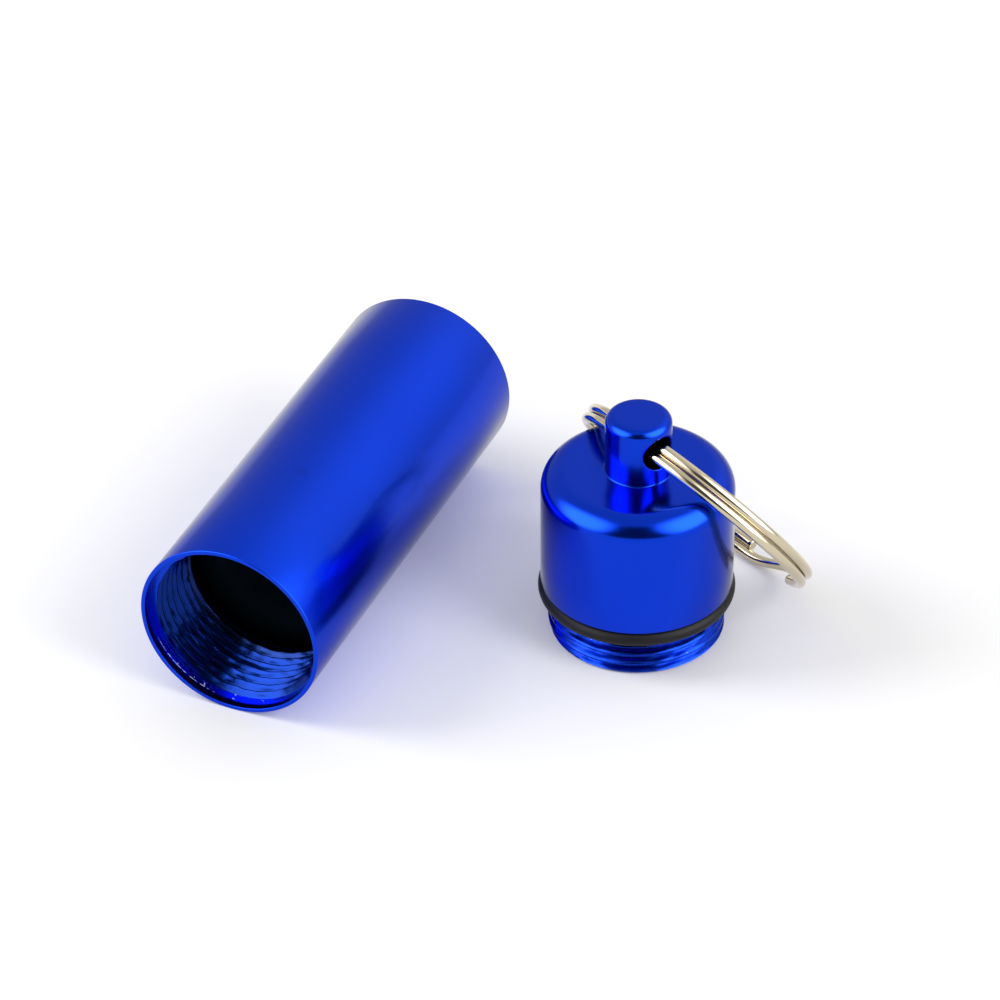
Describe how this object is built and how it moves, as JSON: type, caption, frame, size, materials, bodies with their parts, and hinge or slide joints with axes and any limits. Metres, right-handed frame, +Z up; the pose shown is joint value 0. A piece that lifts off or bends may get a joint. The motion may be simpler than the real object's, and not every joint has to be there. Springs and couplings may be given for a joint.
{
  "type": "pill fob keychain",
  "caption": "Screw-top aluminium pill tube lying open beside its standing cap, which has an O-ring seal and a split ring through its knob.",
  "frame": {"origin": "centre of the whole layout's footprint, on the surface that the tube and the cap stand on", "axes": "+Z up, along the standing cap's axis; +Y along the lying tube's axis, from its mouth to its closed end; +X from the tube to the cap"},
  "size_m": [0.0516, 0.0422, 0.0226],
  "materials": {
    "anodised_blue": "bright blue anodised, fine turned",
    "seal_rubber": "matt black",
    "nickel_plate": "bright nickel plate"
  },
  "bodies": {
    "tube_body": {"tube": "anodised_blue"},
    "seal_body": {"o_ring": "seal_rubber"},
    "cap_body": {"cap": "anodised_blue"},
    "ring_body": {"split_ring": "nickel_plate"}
  },
  "joints": [
    {"name": "cap_advance", "type": "slide", "parent": "tube_body", "child": "seal_body", "axis": [0, 0, 1], "range_m": [0, 0.003]},
    {"name": "cap_turn", "type": "hinge", "parent": "seal_body", "child": "cap_body", "pos_m": [0.01062, 0.0044, 0], "axis": [0, 0, 1], "range_deg": [0, 1080]},
    {"name": "ring_swing", "type": "hinge", "parent": "cap_body", "child": "ring_body", "pos_m": [0.01062, 0.0044, 0.02], "axis": [0.891, -0.454, 0], "range_deg": [0, 286]}
  ],
  "couplings": [
    {"joint": "cap_advance", "follows": "cap_turn", "m_per_rad": 0.00015915}
  ]
}
